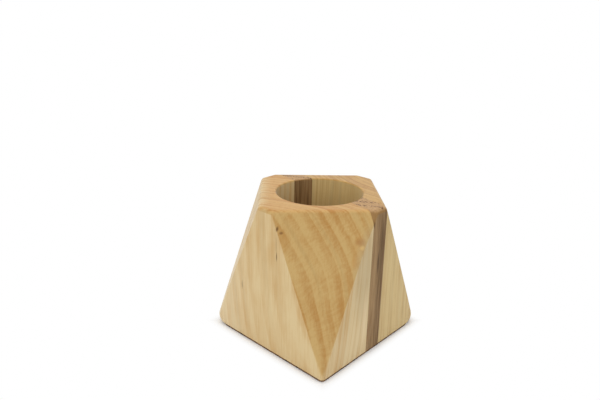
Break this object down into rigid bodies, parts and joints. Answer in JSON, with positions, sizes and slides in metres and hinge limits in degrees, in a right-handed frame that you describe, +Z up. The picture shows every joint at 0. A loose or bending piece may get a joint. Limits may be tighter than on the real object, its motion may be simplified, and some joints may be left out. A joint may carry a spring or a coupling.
{
  "type": "wooden pen cup",
  "caption": "Faceted desk pen cup: a square block of pale wood with a walnut strip glued through it, corners cut to sloping triangles, a round well bored from the top.",
  "frame": {"origin": "centre of the underside of the cork sheet, on the surface that the cup stands on", "axes": "+Z up along the well; -Y out of the upright face whose middle shows the walnut strip; +X to the right of that face"},
  "size_m": [0.08, 0.08, 0.0786],
  "materials": {
    "pale_wood": "sanded and oiled, satin",
    "walnut": "sanded and oiled, satin",
    "cork": "cut sheet, matt"
  },
  "bodies": {
    "root": {"left_block": "pale_wood", "walnut_strip": "walnut", "right_block": "pale_wood", "cork_pad": "cork"}
  },
  "joints": []
}
